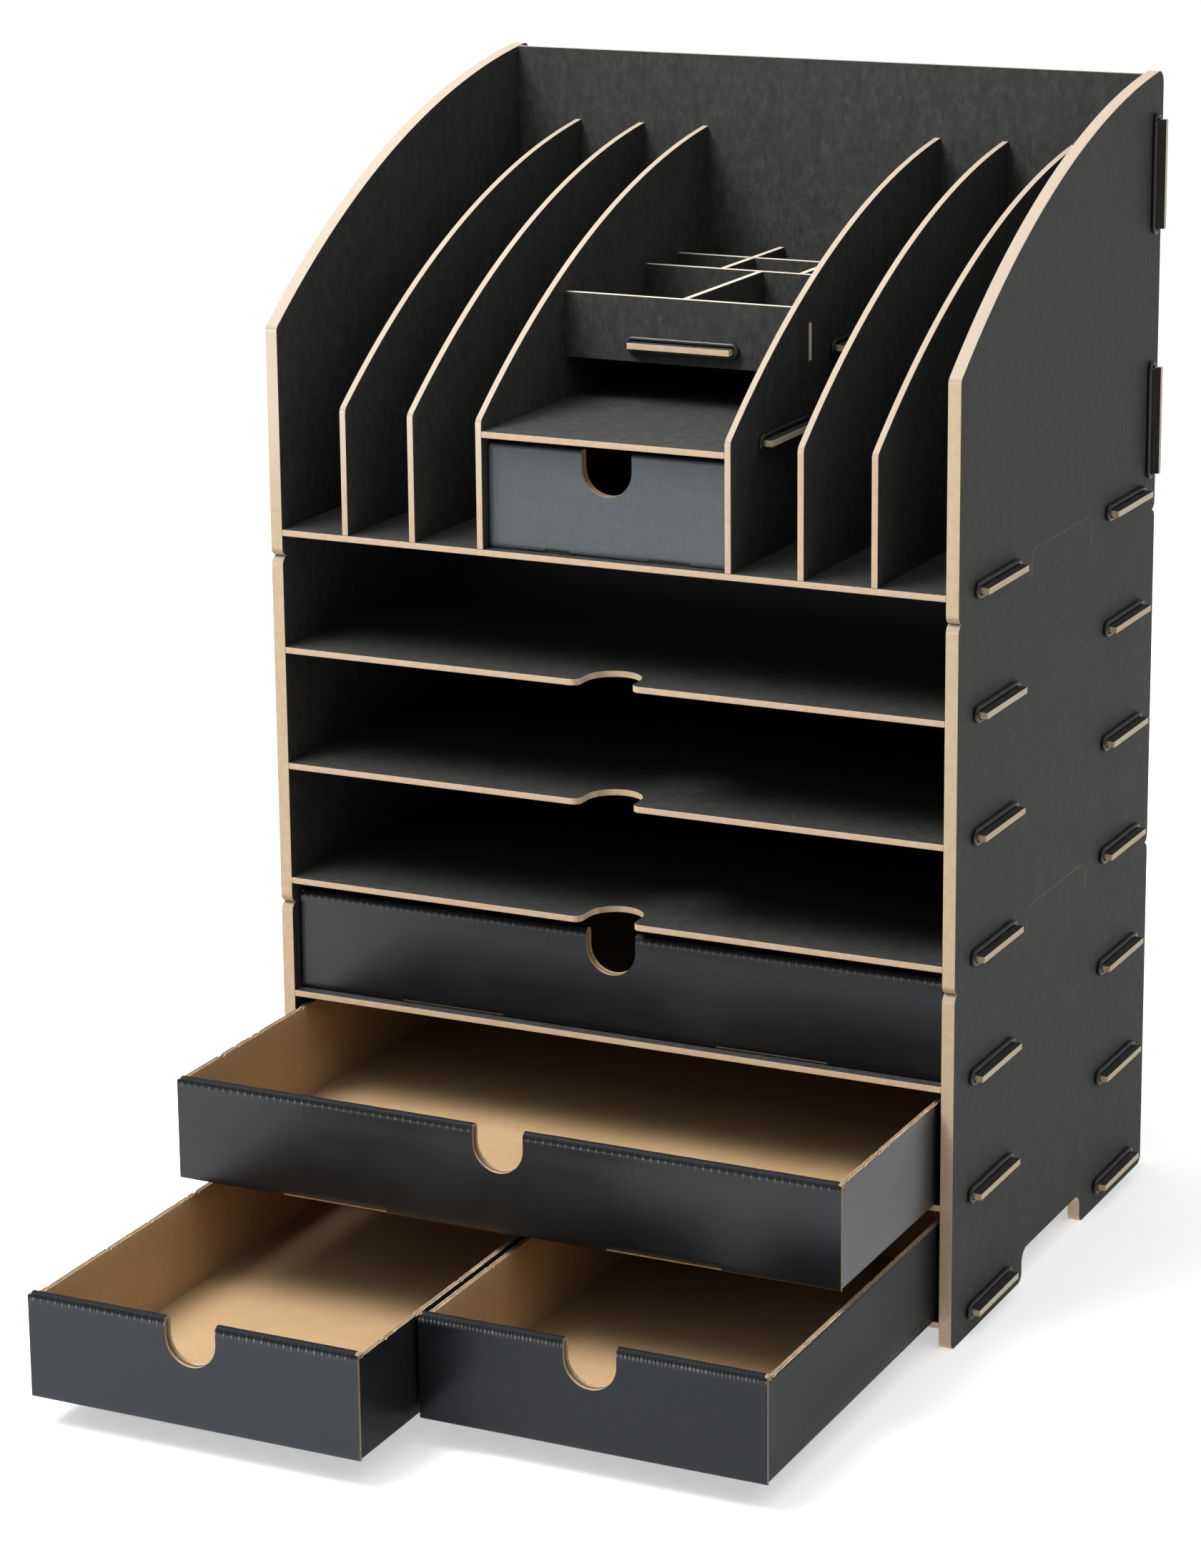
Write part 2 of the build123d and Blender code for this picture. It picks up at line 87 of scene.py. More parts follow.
# Card drawers in metres: sheet, walls, double front and finger notch, as in the solid model
sheet = 0.0016
wall = 0.0028
front_depth = 0.005
notch_width = 0.0244
notch_straight = 0.0083

# Corrugated card in metres: liners and flutes, raw edges, folds and the seams between panels
wall_setback = 0.0003
liner = 0.00045
flute_length = 0.0036
flute_thickness = 0.00032
raw_depth = 0.00045
raw_round, raw_shoulder, raw_lip = 0.0001, 0.00015, 0.00004
tucked_drop, tucked_spread = 0.0034, 0.0004
fold_radius = 0.0012
roll_chamfer = 0.0014
corner_gap = 0.0004
overlap = 0.0002
hair = 0.0001

# Rows of a front at its top crease: metres below the crease
crease_rows = (("skin", 0.0024), ("tooth", 0.0012), ("lip", 0.0004), ("crease", 0.0))

# Paleness of the crease ticks on these rows and on the two above: painted highlight where the crease's
# bumps catch light, with some worn print
tick_highlight_paleness = {"tooth": 0.2, "lip": 0.75, "crease": 1.0, "crest": 0.3, "roll": 0.06}

# Unevenness of the fronts in metres: bow and wave of the face, top crease and its ticks, roll
front_bow, front_wave = 0.00018, 0.00012
crease_depth, crease_swell, tick_swell = 0.00012, 0.0001, 0.00003
roll_swell, roll_wave, roll_sag = 0.00008, 0.0001, 0.00022

# Unevenness of the walls in metres: stations, printed band at the top, bow, torn top and its nicks
wall_step, top_band = 0.0008, 0.005
wall_bow, wall_wave, wall_tear = 0.00015, 0.00012, 0.00028
nick_spacing, nick_reach, nick_depth = 0.012, (0.0006, 0.0022), (-0.0004, 0.0008)

# Flutes in the raw tops in metres: bare ends, how far they sink and tear, and how deep they start
flute_margin = 0.0005
flute_sink, flute_tear, flute_foot = 0.00012, 0.0003, 0.0012

# Floor of a drawer in metres: lift of its underside, and dips of its top
floor_lift, floor_dip = 0.00005, 0.0001

# Cutter of the finger notch in metres: how far it reaches past the front, and above it
cutter_reach, cutter_rise = 0.003, 0.004

# Edges sharper than this many degrees stay sharp on the drawers
smooth_angle = 40.0

# Seeds of the drawers' unevenness: first drawer, step to the next, and what a wall adds
first_seed, seed_step = 11.0, 3.0
side_seed, back_seed = 0.37, 0.71

# Marks along the bottom fold of a front: middle from the centre line, length, and what shows there
wide_marks = ((-0.0815, 0.052, "raw"), (0.0785, 0.054, "raw"))
small_marks = ((-0.0245, 0.012, "step"), (0.0300, 0.020, "step"))
raw_mark_height, raw_mark_recess, step_mark_rise = 0.0008, 0.00025, 0.0008

# Prints of the card: dark and light thread colours, tint of the gloss, and strength of the gloss. The black
# fronts are one card whose gloss strength differs from drawer to drawer as painted reflection, and the half
# drawers' sides get a shaded copy, greyer and almost without gloss
near_black = ((0.0042, 0.0046, 0.0055), (0.0066, 0.0072, 0.0084))
# Greyer black of the shaded copy on the half drawers' sides
shaded_black = ((0.0170, 0.0183, 0.0205), (0.0215, 0.0230, 0.0258))
slate = ((0.064, 0.076, 0.083), (0.078, 0.092, 0.100))
print_looks = {
    "wide": (*near_black, (0.91, 0.95, 1.0), 0.46),
    "half_left": (*near_black, (0.79, 0.87, 1.0), 0.44),
    "half_right": (*near_black, (0.82, 0.89, 1.0), 0.31),
    # Shaded copy for the half drawers' sides: almost no gloss, so they stay dark where the other prints
    # reflect the bright floor
    "half_side_shaded": (*shaded_black, (0.88, 0.92, 1.0), 0.045),
    "small": (*slate, (0.88, 0.95, 1.0), 0.55),
}

# Drawers: fold marks, crease ticks (painted highlight with some wear) on and between flutes, drop of walls,
# height of roll, front and side print, the half drawers' side print being a shaded copy
drawer_looks = {
    "wide_drawer_upper": (wide_marks, 0.5, 0.15, 0.0010, 0.0025, "wide", "wide"),
    "wide_drawer_lower": (wide_marks, 0.5, 0.15, 0.0010, 0.0025, "wide", "wide"),
    "half_drawer_left": ((), 0.8, 0.35, 0.0028, 0.0025, "half_left", "half_side_shaded"),
    "half_drawer_right": ((), 0.9, 0.7, 0.0028, 0.0025, "half_right", "half_side_shaded"),
    "small_drawer": (small_marks, 0.1, 0.1, 0.0010, 0.0009, "small", "small"),
}


# Node helpers

def add(tree, kind, inputs=None, **settings):
    """Add a node with its settings, and set or link its inputs."""
    node = tree.nodes.new(kind)
    for key, value in settings.items():
        setattr(node, key, value)
    for key, value in (inputs or {}).items():
        if isinstance(value, bpy.types.NodeSocket):
            tree.links.new(value, node.inputs[key])
        else:
            node.inputs[key].default_value = value
    return node


def start_material(name):
    """New node material and its tree, shader and the piece's own coordinates."""
    material = bpy.data.materials.new(name)
    material.use_nodes = True
    tree = material.node_tree
    place = add(tree, "ShaderNodeTexCoord").outputs["Object"]
    return material, tree, tree.nodes["Principled BSDF"], place


def stretched_noise(tree, place, scale, detail=3.0, roughness=0.55):
    """Noise with its own scale along each axis, in features per metre."""
    stretch = add(tree, "ShaderNodeVectorMath", {0: place, 1: scale}, operation="MULTIPLY")
    inputs = {"Vector": stretch.outputs[0], "Scale": 1.0, "Detail": detail, "Roughness": roughness}
    return add(tree, "ShaderNodeTexNoise", inputs).outputs["Fac"]


def ranged(tree, value, low, high, to_low=0.0, to_high=1.0):
    """Value remapped from one range to another, with smooth ends."""
    inputs = {"Value": value, 1: low, 2: high, 3: to_low, 4: to_high}
    return add(tree, "ShaderNodeMapRange", inputs, interpolation_type="SMOOTHSTEP").outputs["Result"]


def math_of(tree, operation, first, second):
    """Result of a two-value operation."""
    return add(tree, "ShaderNodeMath", {0: first, 1: second}, operation=operation).outputs[0]


def mixed(tree, factor, first, second):
    """Colour between two colours or colour sockets."""
    first = (*first, 1.0) if isinstance(first, tuple) else first
    second = (*second, 1.0) if isinstance(second, tuple) else second
    node = add(tree, "ShaderNodeMix", {0: factor, 6: first, 7: second}, data_type="RGBA")
    return node.outputs[2]


def flute_wave(tree, place):
    """Wave of the flutes, which run front to back in the floor and upright in the fronts."""
    across = add(tree, "ShaderNodeSeparateXYZ", {0: place}).outputs["X"]
    turn = math_of(tree, "MULTIPLY", across, 2.0 * math.pi / flute_length)
    return add(tree, "ShaderNodeMath", {0: turn}, operation="SINE").outputs[0]


def bumped(tree, shader, height, distance, strength):
    """Bump of a height from 0 to 1, with its depth in metres."""
    node = add(tree, "ShaderNodeBump", {"Height": height, "Distance": distance, "Strength": strength})
    tree.links.new(node.outputs["Normal"], shader.inputs["Normal"])


# Materials

def board_material(axis, painted_shade, highlight_paleness):
    """Fibreboard with matte black faces along one axis and raw beige edges all round."""
    material, tree, shader, place = start_material(f"board_{axis}")
    normal = add(tree, "ShaderNodeNewGeometry").outputs["Normal"]
    parts = add(tree, "ShaderNodeSeparateXYZ", {0: normal}).outputs
    along = add(tree, "ShaderNodeMath", {0: parts[axis]}, operation="ABSOLUTE").outputs[0]
    face = ranged(tree, along, 0.6, 0.8)

    # Black faces: fine upright weave, blotches, long streaks, soft mottling, pale specks and thin scratches
    weave = stretched_noise(tree, place, (1300.0, 1300.0, 420.0), 3.0)
    blotch = stretched_noise(tree, place, (330.0, 330.0, 190.0), 4.0, 0.65)
    streak = stretched_noise(tree, place, (110.0, 110.0, 30.0), 3.0, 0.6)
    mottle = stretched_noise(tree, place, (26.0, 26.0, 20.0), 4.0, 0.6)
    speck = stretched_noise(tree, place, (620.0, 620.0, 620.0), 3.0, 0.6)
    wander = stretched_noise(tree, place, (16.0, 16.0, 9.0), 2.0)
    across = add(tree, "ShaderNodeMath", {0: wander, 1: 0.5, 2: 0.0016}, operation="COMPARE").outputs[0]
    scratch = math_of(tree, "MULTIPLY", across, ranged(tree, mottle, 0.56, 0.66, 0.0, 0.5))
    black = mixed(tree, ranged(tree, weave, 0.3, 0.7), (0.0255, 0.0252, 0.0239), (0.0415, 0.0411, 0.0393))
    black = mixed(tree, ranged(tree, blotch, 0.3, 0.55, 0.5, 0.0), black, (0.012, 0.0118, 0.0112))
    black = mixed(tree, ranged(tree, blotch, 0.5, 0.75, 0.0, 0.5), black, (0.072, 0.0712, 0.0685))
    black = mixed(tree, ranged(tree, streak, 0.45, 0.75, 0.0, 0.25), black, (0.058, 0.0575, 0.055))
    black = mixed(tree, ranged(tree, streak, 0.25, 0.5, 0.2, 0.0), black, (0.014, 0.0138, 0.0131))
    black = mixed(tree, ranged(tree, mottle, 0.42, 0.75, 0.0, 0.25), black, (0.039, 0.0385, 0.037))
    black = mixed(tree, ranged(tree, speck, 0.68, 0.80, 0.0, 0.5), black, (0.12, 0.117, 0.11))
    black = mixed(tree, scratch, black, (0.08, 0.078, 0.074))
    # Painted shade: the black faces of level boards (shelves and floors) are darkened towards black
    black = mixed(tree, painted_shade, black, (0.0, 0.0, 0.0))

    # Raw edges: pressed fibre, with a painted highlight high on the left, painted shade on upward-facing
    # curves and tops, and painted light on the tray's level tops
    spot = add(tree, "ShaderNodeSeparateXYZ", {0: place}).outputs
    on_left = ranged(tree, spot["X"], *highlight_sides, 1.0, 0.0)
    painted_highlight_mask = math_of(tree, "MULTIPLY", ranged(tree, spot["Z"], *highlight_heights), on_left)
    lit_top_band = ranged(tree, spot["Z"], *lit_top_heights, 0.9, 0.0)
    level = math_of(tree, "MULTIPLY", ranged(tree, parts["Z"], 0.88, 0.99), lit_top_band)
    grain = stretched_noise(tree, place, (260.0, 260.0, 260.0), 4.0, 0.6)
    fibre = stretched_noise(tree, place, (1500.0, 1500.0, 1500.0), 2.0)
    beige = mixed(tree, ranged(tree, grain, 0.3, 0.7), (0.62, 0.465, 0.305), (0.685, 0.530, 0.360))
    beige = mixed(tree, ranged(tree, fibre, 0.58, 0.75, 0.0, 0.3), beige, (0.36, 0.25, 0.15))
    # Painted highlight: raw edges high on the left are made paler
    beige = mixed(tree, math_of(tree, "MULTIPLY", painted_highlight_mask, highlight_paleness), beige, (0.74, 0.655, 0.52))
    # Painted shade: raw edges that face upwards are darkened, where the light falls strongest
    beige = mixed(tree, ranged(tree, parts["Z"], 0.1, 0.4, 0.0, 0.9), beige, (0.365, 0.305, 0.240))
    # Painted light: the parts tray's level tops, below the sorter, are made paler
    beige = mixed(tree, level, beige, (0.60, 0.53, 0.44))

    # Tab ends, which stick out of the sides: painted light makes the faces that look sideways pale, some
    # paler than others
    if axis != "X":
        lit_end_facing = add(tree, "ShaderNodeMath", {0: parts["X"]}, operation="ABSOLUTE").outputs[0]
        patch = stretched_noise(tree, place, (6.0, 9.0, 19.0), 1.0)
        ends = mixed(tree, ranged(tree, patch, 0.42, 0.58), (0.95, 0.765, 0.545), (0.97, 0.87, 0.71))
        beige = mixed(tree, ranged(tree, lit_end_facing, 0.8, 0.95, 0.0, 0.95), beige, ends)

    tree.links.new(mixed(tree, face, beige, black), shader.inputs["Base Color"])
    tree.links.new(ranged(tree, weave, 0.3, 0.7, 0.70, 0.78), shader.inputs["Roughness"])
    shader.inputs["Specular IOR Level"].default_value = 0.38
    bumped(tree, shader, math_of(tree, "ADD", weave, fibre), board_bump, 0.5)
    return material


def print_material(name, dark, light, tint, gloss):
    """Satin bluish-black printed liner: linen threads, faint flutes, and pale ticks on the creases that are
    part worn print, part painted highlight.
    """
    material, tree, shader, place = start_material(f"card_print_{name}")
    upright = stretched_noise(tree, place, (1500.0, 1500.0, 110.0), 2.0)
    level = stretched_noise(tree, place, (110.0, 110.0, 1500.0), 2.0)
    threads = math_of(tree, "ADD", upright, level)
    cloud = stretched_noise(tree, place, (28.0, 28.0, 36.0), 4.0, 0.6)
    flute = flute_wave(tree, place)
    wear_and_highlight = add(tree, "ShaderNodeAttribute", attribute_name="wear_and_highlight").outputs["Fac"]
    rolled = add(tree, "ShaderNodeAttribute", attribute_name="rolled").outputs["Fac"]
    speck = stretched_noise(tree, place, (700.0, 700.0, 700.0), 4.0, 0.7)

    colour = mixed(tree, ranged(tree, threads, 0.75, 1.25), dark, light)
    lighter = tuple(1.4 * part for part in light)
    colour = mixed(tree, ranged(tree, cloud, 0.45, 0.8, 0.0, 0.4), colour, lighter)
    colour = mixed(tree, ranged(tree, speck, 0.70, 0.80, 0.0, 0.4), colour, (0.07, 0.07, 0.07))
    colour = mixed(tree, math_of(tree, "MULTIPLY", rolled, 0.85), colour, (0.0135, 0.0145, 0.0160))
    # Pale crease ticks: part worn print, part painted highlight where the bumps catch light
    worn_and_lit = math_of(tree, "MULTIPLY", wear_and_highlight, ranged(tree, speck, 0.25, 0.55, 0.35, 1.0))
    colour = mixed(tree, worn_and_lit, colour, (0.54, 0.53, 0.52))
    tree.links.new(colour, shader.inputs["Base Color"])
    rough = ranged(tree, cloud, 0.3, 0.8, 0.28, 0.36)
    rough = math_of(tree, "ADD", rough, math_of(tree, "MULTIPLY", rolled, 0.2))
    tree.links.new(rough, shader.inputs["Roughness"])
    tree.links.new(ranged(tree, rolled, 0.0, 1.0, gloss, 0.15 * gloss), shader.inputs["Specular IOR Level"])
    shader.inputs["Specular Tint"].default_value = (*tint, 1.0)
    height = math_of(tree, "ADD", threads, math_of(tree, "MULTIPLY", flute, 0.2))
    bumped(tree, shader, height, print_bump, 0.22)
    return material


def card_inside_material():
    """Bare kraft liner: soft clouds, fine fibres and faint flutes."""
    material, tree, shader, place = start_material("card_inside")
    cloud = stretched_noise(tree, place, (18.0, 18.0, 18.0), 5.0, 0.6)
    fibre = stretched_noise(tree, place, (420.0, 420.0, 900.0), 4.0, 0.65)
    grain = stretched_noise(tree, place, (1100.0, 700.0, 1100.0), 3.0, 0.6)
    streak = stretched_noise(tree, place, (420.0, 420.0, 22.0), 3.0)
    flute = flute_wave(tree, place)

    colour = mixed(tree, ranged(tree, cloud, 0.3, 0.7), (0.43, 0.270, 0.135), (0.49, 0.325, 0.172))
    colour = mixed(tree, ranged(tree, streak, 0.35, 0.75, 0.0, 0.35), colour, (0.40, 0.245, 0.118))
    colour = mixed(tree, ranged(tree, grain, 0.3, 0.7, 0.0, 0.5), colour, (0.40, 0.262, 0.138))
    colour = mixed(tree, ranged(tree, fibre, 0.60, 0.76, 0.0, 0.7), colour, (0.27, 0.155, 0.075))
    tree.links.new(colour, shader.inputs["Base Color"])
    tree.links.new(ranged(tree, cloud, 0.3, 0.7, 0.62, 0.78), shader.inputs["Roughness"])
    height = math_of(tree, "ADD", fibre, math_of(tree, "MULTIPLY", flute, 0.25))
    bumped(tree, shader, height, kraft_bump, 0.5)
    return material


def card_edge_material():
    """Raw cut edge of the corrugated sheet: pale torn fibre with dark pits."""
    material, tree, shader, place = start_material("card_edge")
    fibre = stretched_noise(tree, place, (900.0, 900.0, 900.0), 4.0, 0.7)
    patch = stretched_noise(tree, place, (120.0, 120.0, 120.0), 3.0)
    colour = mixed(tree, ranged(tree, patch, 0.3, 0.7), (0.36, 0.26, 0.165), (0.50, 0.38, 0.255))
    colour = mixed(tree, ranged(tree, fibre, 0.50, 0.68, 0.0, 0.8), colour, (0.16, 0.105, 0.06))
    tree.links.new(colour, shader.inputs["Base Color"])
    tree.links.new(ranged(tree, patch, 0.3, 0.7, 0.78, 0.9), shader.inputs["Roughness"])
    bumped(tree, shader, fibre, raw_card_bump, 0.8)
    return material


def rubber_material():
    """Satin black rubber with a faint bloom."""
    material, tree, shader, place = start_material("ring_rubber")
    bloom = stretched_noise(tree, place, (320.0, 320.0, 320.0), 4.0, 0.6)
    colour = mixed(tree, ranged(tree, bloom, 0.35, 0.75), (0.010, 0.010, 0.011), (0.026, 0.026, 0.027))
    tree.links.new(colour, shader.inputs["Base Color"])
    tree.links.new(ranged(tree, bloom, 0.3, 0.7, 0.32, 0.5), shader.inputs["Roughness"])
    bumped(tree, shader, bloom, rubber_bump, 0.5)
    return material


def floor_material():
    """Plain pale studio floor."""
    material, tree, shader, place = start_material("studio_floor")
    tone = stretched_noise(tree, place, (3.0, 3.0, 3.0), 2.0)
    tree.links.new(mixed(tree, tone, (0.79, 0.79, 0.79), (0.81, 0.81, 0.81)), shader.inputs["Base Color"])
    shader.inputs["Roughness"].default_value = 0.9
    shader.inputs["Specular IOR Level"].default_value = 0.1
    shader.inputs["Emission Color"].default_value = (1.0, 1.0, 1.0, 1.0)
    shader.inputs["Emission Strength"].default_value = floor_glow
    return material


# Case: the boards and rings of the solid model keep their shape

def dress_case():
    """Give every board and ring its material, and every board a fine rim."""
    boards = {axis: board_material(axis, *look) for axis, look in board_looks.items()}
    rubber = rubber_material()
    for name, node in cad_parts.items():
        if name in drawer_looks:
            continue
        axis = next((axis for axis, names in faces_along.items() if name.startswith(names)), None)
        for place in node.material_slots:
            place.material = boards[axis] if axis else rubber
        if axis:
            add_rim(node)


def add_rim(node):
    """Join a board's faces and round its edges, with modifiers only."""
    weld = node.modifiers.new("join", "WELD")
    weld.merge_threshold = weld_reach
    flat = node.modifiers.new("flatten", "DECIMATE")
    flat.decimate_type = "DISSOLVE"
    flat.angle_limit = math.radians(flat_angle)
    rim = node.modifiers.new("rim", "BEVEL")
    rim.width = board_rim
    rim.segments = 2
    rim.limit_method = "ANGLE"
    rim.angle_limit = math.radians(rim_angle)
    rim.use_clamp_overlap = False
    node.modifiers.new("shade", "WEIGHTED_NORMAL")


# Drawers: folded corrugated card, with the numbers of its four materials

OUTSIDE, INSIDE, EDGE, SIDE = 0, 1, 2, 3


def sweep(shape, loops, materials, cap):
    """Closed skin through a row of loops, with one material for each side of the loop."""
    rings = [[shape.verts.new(point) for point in loop] for loop in loops]
    count = len(rings[0])
    for first, second in zip(rings, rings[1:]):
        for i in range(count):
            j = (i + 1) % count
            shape.faces.new((first[i], first[j], second[j], second[i])).material_index = materials[i]
    for ring in (rings[0], rings[-1]):
        shape.faces.new(ring).material_index = cap
    return rings


def ripple(seed, place, scale):
    """Smooth seeded value from 0 to 1 along a line."""
    return 0.5 + 0.5 * noise.noise(Vector((place * scale, seed * 7.31, 1.7)))


def arc(middle_y, middle_z, radius, start, end, steps):
    """Points of an arc in the side view, from one angle to another."""
    angles = [math.radians(start + (end - start) * i / steps) for i in range(steps + 1)]
    return [(middle_y + radius * math.cos(a), middle_z + radius * math.sin(a)) for a in angles]


def front_profile(height, roll):
    """Side view of the double front as labelled points: printed face, roll, inner panel and gap between."""
    half = front_depth / 2
    fold = arc(fold_radius, fold_radius, fold_radius, -90, -180, 4)
    rows = [("skin", p) for p in [(sheet, 0.0)] + fold]
    rows += [("skin", (0.0, height * share)) for share in (0.08, 0.2, 0.35, 0.5, 0.65, 0.8)]
    crease = height - roll - hair
    rows += [(kind, (0.0, crease - below)) for kind, below in crease_rows]
    rows += [("crest", (0.0, crease + 0.1 * roll))]
    rows += [("roll", (y, height + (z - half) * roll / half)) for y, z in arc(half, 0.0, half, 168, 12, 12)]
    rows += [("leg", (front_depth, height * share)) for share in (0.9, 0.6, 0.3)]
    rows += [("leg", (front_depth, sheet)), ("foot", (front_depth - sheet, sheet))]
    rows += [("gap_back", (front_depth - sheet, height * share)) for share in (0.3, 0.6)]
    rows += [("gap_roof", p) for p in arc(half, height - half, half - sheet, 0, 180, 6)]
    rows += [("gap", (sheet, height * share)) for share in (0.6, 0.3, 0.05)]
    return rows


def front_materials(rows):
    """Material of each side of the profile."""
    inside = ("gap_back", "gap_roof", "gap", "foot")
    kinds = [kind for kind, _ in rows]
    sides = [INSIDE if kind in inside else OUTSIDE for kind in kinds]
    sides[kinds.index("foot") - 1] = EDGE
    sides[-1] = EDGE
    return sides


def crease_tick(place, seed, strength, between):
    """Strength of the pale tick on the top crease, a painted highlight with some wear: one for each flute,
    with fainter ones between.
    """
    swing = math.cos(2 * math.pi * (place / flute_length + 0.5 * ripple(seed + 8, place, 30.0)))
    tick = max(0.0, swing) ** 3 + between * max(0.0, -swing) ** 3
    return strength * tick * (0.35 + 0.65 * ripple(seed + 3, place, 90.0))


def add_front(shape, low, high, marks, ticks, roll, seed):
    """Double front: printed panel folded up, rolled over the top and down inside."""
    # Paleness of the crease ticks at each corner: painted highlight with some worn print
    wear_and_highlight, rolled = shape.verts.layers.float["wear_and_highlight"], shape.verts.layers.float["rolled"]
    width, height = high.x - low.x, high.z - low.z
    rows = front_profile(height, roll)
    loops, worn_and_lit, places = [], [], front_places(width)
    for place in places:
        end = min(place, width - place)
        cut = max(0.0, roll_chamfer - end)
        tick = crease_tick(place, seed, *ticks)
        bow = front_bow * ripple(seed, place, 12.0)
        mark = mark_at(place - width / 2, marks)
        loop, highlight_paleness = [], []
        for kind, (y, z) in rows:
            pale = tick * tick_highlight_paleness.get(kind, 0.0)
            if kind == "skin" and z > fold_radius / 2:
                y += bow + front_wave * ripple(seed + z * 400.0, place, 25.0)
            elif kind in ("tooth", "lip", "crest"):
                y += bow * 0.5 + tick_swell * (1.0 - tick)
            elif kind == "crease":
                y += crease_depth + crease_swell * (1.0 - tick)
            elif kind == "roll":
                front_share = max(0.0, 1.0 - 2.2 * y / front_depth)
                swell = roll_swell * (1.0 - tick) * front_share
                y += swell + roll_wave * ripple(seed + z * 900.0, place, 160.0)
                z -= roll_sag * ripple(seed + 5, place, 110.0)
                pale *= front_share
            if mark == "raw" and z < raw_mark_height:
                y += raw_mark_recess
            if mark == "step" and z < 1.1 * fold_radius and y < sheet:
                z += step_mark_rise
            if kind in ("leg", "foot", "gap_back") and end < wall:
                z = height - tucked_drop + tucked_spread * z / height
            if kind in ("gap_roof", "gap"):
                z = min(z, height - sheet - cut)
            elif kind in ("roll", "crest"):
                z = min(z, height - cut)
            loop.append((low.x + place, low.y + y, low.z + z))
            highlight_paleness.append(pale)
        loops.append(loop)
        worn_and_lit.append(highlight_paleness)
    rings = sweep(shape, loops, front_materials(rows), EDGE)
    for ring, highlight_paleness in zip(rings, worn_and_lit):
        for vert, pale, (kind, _) in zip(ring, highlight_paleness, rows):
            vert[wear_and_highlight] = pale
            vert[rolled] = 1.0 if kind == "roll" and roll > fold_radius else 0.0

    # Raw card shows on the upper half of the bottom fold, at marks, and at both ends of the roll
    fold_rows = (3, 4)
    roll_rows = [i for i, (kind, (y, z)) in enumerate(rows) if kind == "roll" and z > height - roll_chamfer]
    for ring, after, place in zip(rings, rings[1:], places):
        if mark_at(place - width / 2, marks) == "raw":
            bare(ring, after, fold_rows)
        if place < roll_chamfer - hair or place > width - roll_chamfer - hair:
            bare(ring, after, roll_rows)


def front_places(width):
    """Stations along a front: close enough for the creases, with extra ones at its ends."""
    ends = [0.0, roll_chamfer / 2, roll_chamfer, wall - hair, wall + hair]
    step = flute_length / 12
    start = ends[-1] + step
    count = round((width - 2 * start) / step)
    middle = [start + (width - 2 * start) * i / count for i in range(count + 1)]
    return ends + middle + [width - e for e in reversed(ends)]


def mark_at(x, marks):
    """What shows on the bottom fold at a distance from the centre line."""
    return next((kind for middle, length, kind in marks if abs(x - middle) < length / 2), None)


def bare(ring, after, rows):
    """Show the raw edge of the sheet on some rows of faces between two stations."""
    for i in rows:
        face = next(f for f in ring[i].link_faces if ring[i + 1] in f.verts and after[i] in f.verts)
        face.material_index = EDGE


def wall_profile(thickness, height, top):
    """Cross-section of a single wall from its inner foot outwards: fold, print, raw top and bare face."""
    groove, half_round = top - raw_depth, raw_round / 2
    rows = [((0.0, 0.0), SIDE)]
    rows += [(point, SIDE) for point in arc(thickness - fold_radius, fold_radius, fold_radius, -90, 0, 4)]
    rows += [((thickness, height * share), SIDE) for share in (0.25, 0.5, 0.75)]
    rows += [((thickness, height - top_band), SIDE)]
    rows += [((thickness, top - raw_shoulder), SIDE), ((thickness - raw_round, top), EDGE)]
    rows += [((thickness - liner, top - raw_lip), EDGE), ((thickness - liner - half_round, groove), EDGE)]
    rows += [((liner + half_round, groove), EDGE), ((liner, top - raw_lip), EDGE), ((raw_round, top), EDGE)]
    rows += [((0.0, top - raw_shoulder), INSIDE)]
    rows += [((0.0, height * share), INSIDE) for share in (0.75, 0.5, 0.25)]
    return rows


def add_wall(shape, start, along, outward, length, height, drop, seed, tucked):
    """Single wall with a torn raw top and its flutes; the tucked stretch lies under the front's roll."""
    thickness = wall - wall_setback
    up = Vector((0.0, 0.0, 1.0))
    count = round(length / wall_step)
    chance = random.Random(seed)
    nicks = [(chance.uniform(tucked, length), chance.uniform(*nick_reach), chance.uniform(*nick_depth))
             for i in range(round(length / nick_spacing))]
    loops = []
    for i in range(count + 1):
        place = length * i / count
        torn = wall_wave * ripple(seed, place, 90.0) + wall_tear * ripple(seed + 1, place, 900.0)
        torn += sum(depth * max(0.0, 1.0 - abs(place - at) / reach) for at, reach, depth in nicks)
        top = height - (tucked_drop if place < tucked else drop + max(0.0, torn))
        bow = wall_bow * ripple(seed + 2, place, 18.0)
        base = start + along * place
        loop = []
        for (s, v), _ in wall_profile(thickness, height, top):
            s -= bow * (1.0 if 0.2 * height < v < 0.85 * height else 0.0)
            loop.append(base + outward * s + up * v)
        loops.append(loop)
    sides = [material for _, material in wall_profile(thickness, height, height)]
    sweep(shape, loops, sides, SIDE)
    flute_start = start + along * (tucked + flute_margin)
    add_flutes(shape, flute_start, along, outward, length - tucked - 2 * flute_margin, height - drop, seed)


